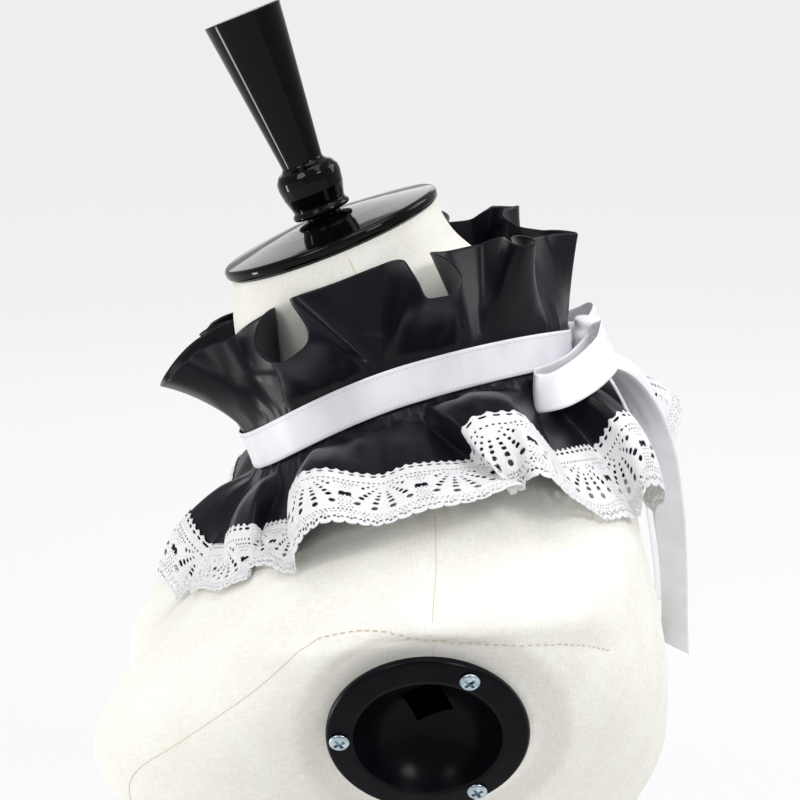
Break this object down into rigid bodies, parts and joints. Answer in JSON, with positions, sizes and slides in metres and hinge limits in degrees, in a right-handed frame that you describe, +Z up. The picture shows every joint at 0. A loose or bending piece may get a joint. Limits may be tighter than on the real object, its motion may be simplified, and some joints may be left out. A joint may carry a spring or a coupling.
{
  "type": "frilled satin collar on a limbless dress form",
  "caption": "Two-tier pleated black satin collar with a white neck ribbon, a back bow and a lace edge, worn on a limbless dress form with a turned neck cap.",
  "frame": {"origin": "on the flat base that the dress form stands on, under the middle of the neck", "axes": "+Z up, -Y to the front of the form, +X to the form's left side, which faces the picture's camera"},
  "size_m": [0.3572, 0.2779, 0.52],
  "materials": {
    "linen": "cream plain-weave linen drawn smooth over the form",
    "black_satin": "black polyester satin with a soft bluish sheen",
    "white_satin": "white satin ribbon",
    "cotton_lace": "white cotton cluny lace",
    "black_lacquer": "glossy black lacquer on turned wood",
    "black_plastic": "moulded black plastic with a low gloss",
    "zinc_steel": "zinc plated steel"
  },
  "bodies": {
    "root": {"form_torso": "linen", "frill_upper": "black_satin", "frill_lower": "black_satin", "lace_trim": "cotton_lace", "neck_ribbon": "white_satin", "bow_knot": "white_satin", "bow_loop_left": "white_satin", "bow_loop_right": "white_satin", "bow_tail_left": "white_satin", "bow_tail_right": "white_satin", "neck_cap": "black_lacquer", "finial": "black_lacquer", "arm_plate_left": "black_plastic", "arm_plate_right": "black_plastic", "plate_screw_left_1": "zinc_steel", "plate_screw_left_2": "zinc_steel", "plate_screw_left_3": "zinc_steel", "plate_screw_right_1": "zinc_steel", "plate_screw_right_2": "zinc_steel", "plate_screw_right_3": "zinc_steel"}
  },
  "joints": []
}
